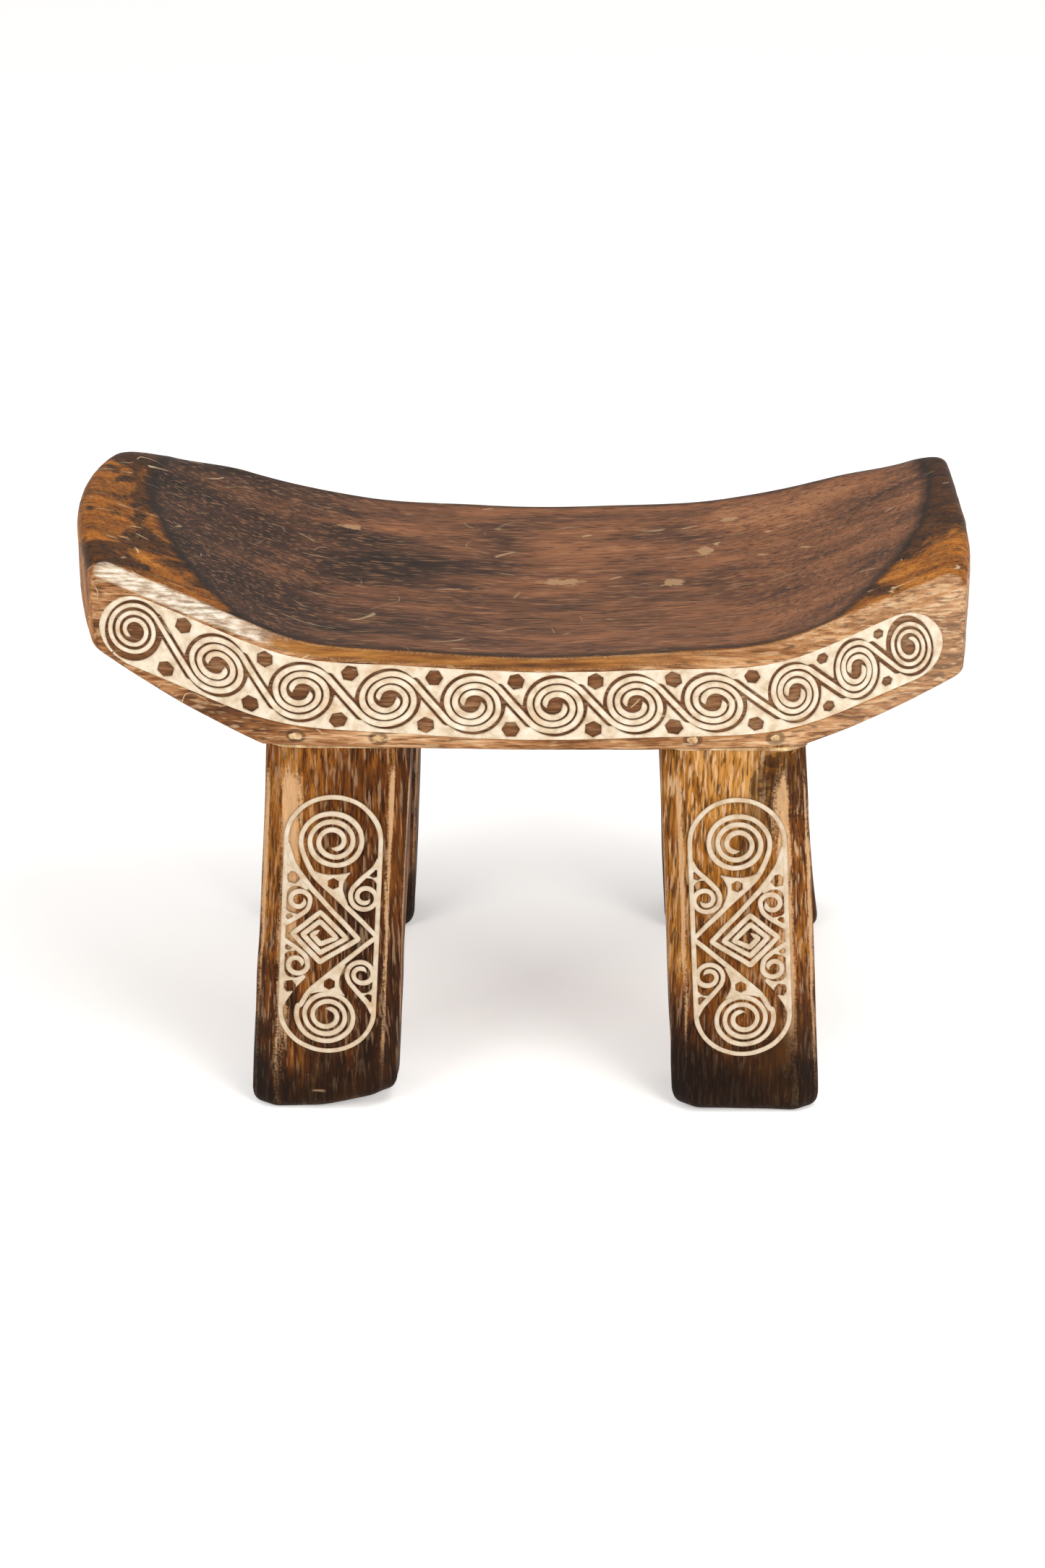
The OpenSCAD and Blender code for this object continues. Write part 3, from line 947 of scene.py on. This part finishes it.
class Finish:
    """One material, built from nodes."""

    def __init__(self, name):
        self.material = bpy.data.materials.new(name)
        self.material.use_nodes = True
        self.tree = self.material.node_tree
        self.tree.nodes.clear()

    def node(self, kind, settings, sockets, out=0):
        sockets = {key: getattr(value, "socket", value) for key, value in sockets.items()}
        made = add_node(self.tree, kind, settings, sockets)
        return Value(self, made.outputs[out]) if made.outputs else None

    def place(self):
        return self.node("ShaderNodeTexCoord", {}, {}, "Object")

    def part(self, vector, axis):
        """The X, Y or Z of a vector."""
        return self.node("ShaderNodeSeparateXYZ", {}, {0: vector}, axis)

    def mark(self, name):
        """A value kept at the piece's points."""
        settings = {"attribute_type": "GEOMETRY", "attribute_name": name}
        return self.node("ShaderNodeAttribute", settings, {}, "Fac")

    def stretched(self, scale, turn=(0, 0, 0)):
        sockets = {"Vector": self.place(), "Scale": scale, "Rotation": [math.radians(t) for t in turn]}
        return self.node("ShaderNodeMapping", {}, sockets)

    def cloud(self, scale, detail, rough, warp, stretch=(1, 1, 1), turn=(0, 0, 0), offset=0.0):
        """Uneven values about 0.5; scale counts lumps per metre, and an offset picks others."""
        vector = self.stretched(stretch, turn)
        sockets = {"Vector": vector, "Scale": scale, "Detail": detail, "Roughness": rough}
        sockets["Distortion"] = warp
        if offset:
            sockets["W"] = offset
        settings = {"noise_dimensions": "4D" if offset else "3D"}
        return self.node("ShaderNodeTexNoise", settings, sockets)

    def mix(self, factor, a, b):
        """Colour a, with b over it where the factor is 1; each may be six digits."""
        a, b = (colour(shade) if isinstance(shade, str) else shade for shade in (a, b))
        return self.node("ShaderNodeMix", {"data_type": "RGBA"}, {0: factor, 6: a, 7: b}, 2)

    def blend(self, factor, *stops):
        """A colour from a run of (place, colour) stops."""
        return self.node("ShaderNodeValToRGB", {"stops": stops}, {0: factor})

    def surface(self, base, rough, height=None, relief=0.0003, strength=0.6, **fixed):
        sockets = {"Base Color": base, "Roughness": rough}
        sockets.update({key.replace("_", " "): value for key, value in fixed.items()})
        if height is not None:
            bump = {"Strength": strength, "Distance": relief, "Height": height}
            sockets["Normal"] = self.node("ShaderNodeBump", {}, bump)
        shader = self.node("ShaderNodeBsdfPrincipled", {}, sockets)
        self.node("ShaderNodeOutputMaterial", {}, {"Surface": shader})
        return self.material


def scratches(f, turn, scale, keep, offset, bend=0.25):
    """Hair-thin lines, broken into short lengths, in a few places only."""
    line = f.cloud(scale, 0.0, 0.5, 0.3, (bend, 1, 1), turn, offset)
    thin = (line - 0.5).maths("ABSOLUTE").step(0.0075, 0.0015)
    broken = f.cloud(55, 1.0, 0.5, 0.0, offset=offset + 3)
    return thin * broken.step(keep, keep + 0.05)


def spot(f, centre, size, stretch):
    """A ragged patch about a point; it grows longer along an axis whose stretch is under 1."""
    centre = tuple(c * k for c, k in zip(centre, stretch))
    ends = {0: f.stretched(stretch), 1: centre}
    away = f.node("ShaderNodeVectorMath", {"operation": "DISTANCE"}, ends, "Value")
    ragged = f.cloud(230, 4, 0.7, 0.4, (0.6, 1, 1), offset=30.0) - 0.5
    return (away + ragged * size * 3.2).step(size, size * 0.75)


def seat_finish():
    f = Finish("oiled_seat_wood")
    broad = f.cloud(11, 4, 0.55, 0.7, (0.5, 1.2, 1.2))
    streak = f.cloud(120, 4, 0.6, 0.5, (0.09, 1, 1))
    fine = f.cloud(620, 3, 0.6, 0.2, (0.1, 1, 1))
    pores = f.cloud(1000, 2, 0.5, 0.0, (0.08, 1, 1)).step(0.55, 0.64)
    flecks = f.cloud(760, 2, 0.5, 0.0, (0.10, 1, 1), offset=15.0).step(0.54, 0.64)
    grit = f.cloud(900, 3, 0.7, 0.3)
    sweep = f.cloud(26, 3, 0.5, 1.2, (0.35, 1.0, 1.0), (0, 0, 14), 4.0)
    burnt = f.cloud(26, 5, 0.65, 1.4, (0.6, 1, 1), (0, 0, 55), 7.0)
    place = f.place()
    across, back, up = (f.part(place, axis) for axis in "XYZ")
    normal = f.node("ShaderNodeNewGeometry", {}, {}, "Normal")
    facing_right, facing_up = f.part(normal, "X"), f.part(normal, "Z")

    # the dish: dark, with pores and pale flecks along the grain, and painted shade that darkens it
    # towards the left
    shade = broad * 0.5 + streak * 0.3 + sweep * 0.4 + across.least(0.02) * 0.95
    browns = (0.0, "241812"), (0.3, "4a3022"), (0.55, "704830"), (0.8, "8c5a3a"), (1.0, "a8734c")
    dish = f.blend(shade.step(0.36, 0.80), *browns)
    dish = f.mix(pores * 0.68, dish, "22130c")
    dish = f.mix(flecks * 0.40, dish, "b3805a")

    # the rim and the wings: amber, burnt in patches
    shade = broad * 0.5 + streak * 0.3 + grit * 0.25
    ambers = (0.0, "2c1505"), (0.25, "663709"), (0.55, "9c590f"), (0.8, "c0751f"), (1.0, "d79a4c")
    rim = f.blend(shade.step(0.36, 0.74), *ambers)
    rim = f.mix(pores * 0.6, rim, "1e0e04")
    rim = f.mix(flecks * 0.25, rim, "c4934f")
    wing = f.mark("wing")
    uneven = f.cloud(90, 3, 0.6, 0.0, offset=2.0) - 0.5
    edge = f.mark("dish") + uneven * 5.0
    near_dish = edge.step(-20, -5) * wing * 0.085
    right_rear = across.step(0.155, 0.185) * back.step(-0.035, 0.02) * 0.17
    charred = (burnt + near_dish + right_rear + wing * 0.01).step(0.52, 0.61)
    rim = f.mix(charred * (0.45 + pores * 0.3 + grit * 0.6), rim, "120904")

    # the dark line where the dish meets the rim
    in_dish = edge.step(-1.0, 1.0)
    base = f.mix(in_dish, rim, dish)
    shadow_line = edge.step(-4.5, -0.5) * edge.step(6.0, 0.5)
    base = f.mix(shadow_line * 0.72, base, "1b100a")

    # the upright faces: paler, amber at the left end, dark round the pegs and under the lime
    upright = facing_up.step(0.40, 0.1)
    shade = streak * 0.45 + fine * 0.35 + broad * 0.3
    tans = (0.0, "45260f"), (0.35, "825129"), (0.7, "b48256"), (1.0, "dfbd96")
    side = f.blend(shade.step(0.36, 0.74), *tans)
    side = f.mix(pores * 0.62, side, "371e0d")
    side = f.mix(flecks * 0.45, side, "d9b68b")
    end_grain = f.mix(burnt.step(0.45, 0.6), "b06f2c", "5c3413")
    side = f.mix(facing_right.step(-0.5, -0.85) * 0.6, side, end_grain)
    # painted light: the upright faces are paler towards the right end, where the light falls, with
    # pale flecks of the wood
    side = f.mix(across.step(0.10, 0.20) * (0.12 + flecks * 0.2), side, "ddc6a6")
    from_leg = ((across - SHIFT * MM).maths("ABSOLUTE") - LEG_MID * MM).maths("ABSOLUTE")
    from_peg = from_leg - PEG_SPACING / 2 * MM
    from_peg = (from_peg * from_peg * 0.6 + (up - PEG_Z * MM) ** 2) ** 0.5
    side = f.mix(from_peg.step(0.0040, 0.0030) * 0.6, side, "331b0b")
    side = f.mix(f.mark("carved") * 0.6, side, "5f3a20")
    base = f.mix(upright, base, side)

    # the chamfer: a painted silvery highlight at the left, amber along the middle
    bevel = f.mark("bevel") * (1 - upright * 0.5)
    left_end = (across + (burnt - 0.5) * 0.10).step(-0.098, -0.128)
    silver_highlight = f.blend(fine, (0.36, "a08970"), (0.5, "d8c8b0"), (0.60, "f6eedf"))
    amber = f.blend(streak * 0.6 + fine * 0.4, (0.36, "3f220b"), (0.5, "844f1a"), (0.62, "ad7534"))
    strip = f.mix(across.step(0.03, 0.12) * 0.85, amber, side)
    strip = f.mix(left_end * (0.65 + grit * 0.4), strip, silver_highlight)
    base = f.mix(bevel * 0.92, base, strip)
    # painted shade: faces turned downwards are darkened
    base = f.mix(facing_up.step(-0.35, -0.7) * 0.6, base, "6b4321")

    # wear: rubbed edges, scratches and bare spots
    worn = (f.mark("arris") + (grit - 0.5) * 0.9 + (burnt - 0.5) * 0.6).step(0.55, 1.05)
    base = f.mix(worn * 0.4 * (1 - in_dish * 0.8), base, "cfa878")
    lines = scratches(f, (0, 0, 18), 30, 0.59, 1.0)
    for turn, scale, offset in ((-42, 34, 5.0), (70, 38, 9.0)):
        lines = lines.most(scratches(f, (0, 0, turn), scale, 0.60, offset))
    lines = lines.most(scratches(f, (0, 0, 0), 44, 0.60, 21.0, 0.8) * (1 - in_dish * 0.4))
    shown = (0.8 - in_dish * 0.35) * (1 - f.mark("bevel"))
    base = f.mix(lines * shown, base, "d9bd94")
    spots = spot(f, (0.088, 0.030, 0), 0.0052, (1, 1, 0))
    for x, y, size, along in (
        (0.072, -0.004, 0.0038, 0.7), (0.018, 0.002, 0.0040, 0.35),
        (0.101, 0.064, 0.0032, 0.8), (-0.086, 0.052, 0.0026, 0.4),
    ):
        spots = spots.most(spot(f, (x, y, 0), size, (along, 1, 0)))
    base = f.mix(spots * (0.55 + grit * 0.4), base, "b58f68")
    bare = f.cloud(38, 4, 0.65, 0.3, (0.6, 1, 1), offset=11.0).step(0.71, 0.725)
    base = f.mix(bare * 0.7, base, "b08a63")

    rough = 0.52 + fine * 0.16 + upright * 0.12 + lines * 0.2 - bevel * left_end * 0.24
    height = fine * 0.4 + grit * 0.35 - pores * 0.8 - lines * 0.6 + streak * 0.5
    return f.surface(base, rough, height, 0.0004, 0.55, Specular_IOR_Level=0.25)


def leg_finish():
    f = Finish("oiled_leg_wood")
    broad = f.cloud(13, 4, 0.55, 0.6, (1.1, 1.1, 0.4))
    streak = f.cloud(170, 4, 0.65, 0.5, (1, 1, 0.07))
    fine = f.cloud(640, 3, 0.6, 0.2, (1, 1, 0.1))
    pores = f.cloud(900, 2, 0.5, 0.0, (1, 1, 0.07)).step(0.53, 0.62)
    flecks = f.cloud(700, 2, 0.5, 0.0, (1, 1, 0.09), offset=15.0).step(0.53, 0.63)
    grit = f.cloud(800, 3, 0.7, 0.3)
    place = f.place()
    across, up = f.part(place, "X"), f.part(place, "Z")

    # brown wood with open pores, paler at the top of the right legs, partly a paler wood and partly
    # painted light from the right
    paler = across.step(-0.04, 0.06) * up.step(0.05, 0.17)
    shade = (broad * 0.5 + streak * 0.25 + fine * 0.3 + paler * 0.10).step(0.38, 0.76)
    browns = (0.0, "210e03"), (0.28, "4a2508"), (0.55, "733f10"), (0.8, "9c6424"), (1.0, "c9924f")
    base = f.blend(shade, *browns)
    base = f.mix(pores * 0.68, base, "1a0c04")
    base = f.mix(flecks * (0.26 + paler * 0.42), base, "d6b189")

    # smoked feet, dark and amber patches
    smoke = f.cloud(24, 4, 0.6, 0.8, (1, 1, 0.45), offset=6.0) - 0.5
    foot = (up + smoke * 0.16).step(0.060, 0.012)
    base = f.mix(foot * 0.93, base, "140802")
    patch = f.cloud(17, 4, 0.6, 0.9, (1, 1, 0.4), offset=8.0).step(0.56, 0.66)
    base = f.mix(patch * 0.6, base, "2a1508")
    dark_top = spot(f, (0.127, 0, 0.170), 0.016, (1, 0, 0.8))
    base = f.mix(dark_top * 0.66, base, "2c1407")
    amber = f.cloud(15, 3, 0.5, 0.5, (1, 1, 0.35), offset=14.0).step(0.52, 0.66)
    base = f.mix(amber * 0.32, base, "a86418")

    # wear: rubbed edges, more of it higher up, and scratches
    uneven = (grit - 0.5) * 1.2 + (streak - 0.5) * 2.0 + (broad - 0.5) * 0.8
    worn = (f.mark("arris") * (0.6 + up * 3.4) + uneven).step(0.36, 0.88)
    base = f.mix(worn * 0.76 * (1 - foot * 0.9), base, "d0a67a")
    lines = scratches(f, (0, 68, 0), 34, 0.66, 2.0, 0.5)
    lines = lines.most(scratches(f, (0, -52, 0), 40, 0.66, 6.0, 0.5))
    base = f.mix(lines * 0.35, base, "d4b083")

    rough = 0.52 + fine * 0.16 - amber * 0.08 + lines * 0.1
    height = fine * 0.5 + streak * 0.5 - pores * 0.9 + grit * 0.3 - lines * 0.5
    return f.surface(base, rough, height, 0.0004, 0.6, Specular_IOR_Level=0.1)


def lime_finish():
    f = Finish("lime_filling")
    soft = f.cloud(180, 4, 0.6, 0.2)
    grit = f.cloud(900, 4, 0.7, 0.2)
    stain = f.cloud(60, 4, 0.6, 0.4, offset=3.0)
    base = f.blend(soft, (0.3, "c2ab8c"), (0.5, "dccbb2"), (0.72, "ebdfcc"))
    base = f.mix(stain.step(0.52, 0.72) * 0.5, base, "c59d70")
    # painted shade, with brown staining: the lime turns brown low on each rib and on the recess floor,
    # in place of ambient occlusion
    low = (f.mark("crown") + (grit - 0.5) * 0.35).step(0.62, 0.10)
    base = f.mix(low * 0.85, base, "57351d")
    on_legs = f.part(f.place(), "Z").step(0.182, 0.150)
    base = f.mix(on_legs * 0.30, base, "a08567")
    base = f.mix(grit.step(0.68, 0.74) * 0.35, base, "9b7650")
    height = grit * 0.6 + soft * 0.6
    return f.surface(base, 0.62 + grit * 0.2, height, 0.0003, 0.5, Specular_IOR_Level=0.25)


def peg_finish():
    f = Finish("peg_end_grain")
    speck = f.cloud(1600, 3, 0.6, 0.2)
    soft = f.cloud(300, 3, 0.6, 0.4)
    base = f.blend(soft, (0.35, "8e6238"), (0.5, "c59f6e"), (0.68, "e2c79c"))
    base = f.mix(speck.step(0.56, 0.64) * 0.7, base, "4a2c14")
    return f.surface(base, 0.55 + speck * 0.15, speck, 0.0002, 0.5)


def filler_finish():
    f = Finish("joint_filler_paste")
    grit = f.cloud(500, 4, 0.65, 0.3)
    wide = f.cloud(70, 3, 0.6, 0.5)
    base = f.blend(wide, (0.36, "8b6238"), (0.52, "c8a678"), (0.66, "e3cda5"))
    base = f.mix(grit.step(0.55, 0.68) * 0.6, base, "5c3a1c")
    return f.surface(base, 0.66 + grit * 0.15, grit, 0.0004, 0.6)


def floor_finish():
    f = Finish("pale_floor")
    return f.surface(colour("f6f5f3"), 0.8, Emission_Color=colour("ffffff"), Emission_Strength=0.36)


# ---- assembly ----

SEAT_FINISH = seat_finish()
LEG_FINISH = leg_finish()
LIME_FINISH = lime_finish()
PEG_FINISH = peg_finish()
FILLER_FINISH = filler_finish()


def dress(piece, finish, node):
    """Gives a piece its finish and puts it in the place of its CAD node."""
    piece.data.materials.clear()
    piece.data.materials.append(finish)
    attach(piece, "root")
    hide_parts(node)


dress(make_seat(), SEAT_FINISH, "seat")
for corner in CORNERS:
    dress(make_leg(corner), LEG_FINISH, "leg_" + corner)
    dress(make_panel(corner, LIME_FINISH), LIME_FINISH, "panel_lime_" + corner)
    for place in ("outer", "inner"):
        dress(make_peg(corner, place), PEG_FINISH, "peg_" + corner + "_" + place)
    dress(make_bead(corner, FILLER_FINISH), FILLER_FINISH, "bead_" + corner)
for end in ("front", "rear"):
    dress(make_band(end, LIME_FINISH), LIME_FINISH, "band_lime_" + end)

# ---- stage, light and camera; in metres ----

FLOOR_SIZE = 60
FLOOR_Z = -0.0005
AIM = (0, 0, 0.15)
VIEW_DROP = 79 / 2168  # as a share of the view's height

bpy.ops.mesh.primitive_plane_add(size=FLOOR_SIZE, location=(0, 0, FLOOR_Z))
floor = bpy.context.object
floor.name = "floor"
floor.data.materials.append(floor_finish())

world = bpy.data.worlds.new("soft_room")
bpy.context.scene.world = world
world.use_nodes = True
background = world.node_tree.nodes["Background"]
background.inputs["Color"].default_value = (1, 0.99, 0.98, 1)
background.inputs["Strength"].default_value = 0.6


def aimed(name, data, place):
    """A lamp or camera at a place, turned towards the piece."""
    piece = bpy.data.objects.new(name, data)
    piece.location = place
    piece.rotation_euler = (Vector(AIM) - Vector(place)).to_track_quat("-Z", "Y").to_euler()
    bpy.context.collection.objects.link(piece)
    return piece


def softbox(name, place, size, power, tint=(1, 1, 1)):
    light = bpy.data.lights.new(name, "AREA")
    light.shape = "RECTANGLE"
    light.size, light.size_y = size
    light.energy = power
    light.color = tint
    aimed(name, light, place)


softbox("left_softbox", (-1.4, -1.5, 1.5), (1.0, 0.9), 14, (1, 0.985, 0.96))
softbox("right_softbox", (1.5, -1.6, 1.4), (1.0, 1.0), 19, (1, 0.98, 0.95))
softbox("overhead_softbox", (0.6, -0.5, 2.0), (0.8, 0.7), 12)

eye = bpy.data.cameras.new("eye")
eye.sensor_width = 36
eye.lens = 79.8
eye.shift_y = -VIEW_DROP
bpy.context.scene.camera = aimed("eye", eye, (0.0242, -1.5405, 0.8684))
bpy.context.scene.view_settings.view_transform = "Standard"
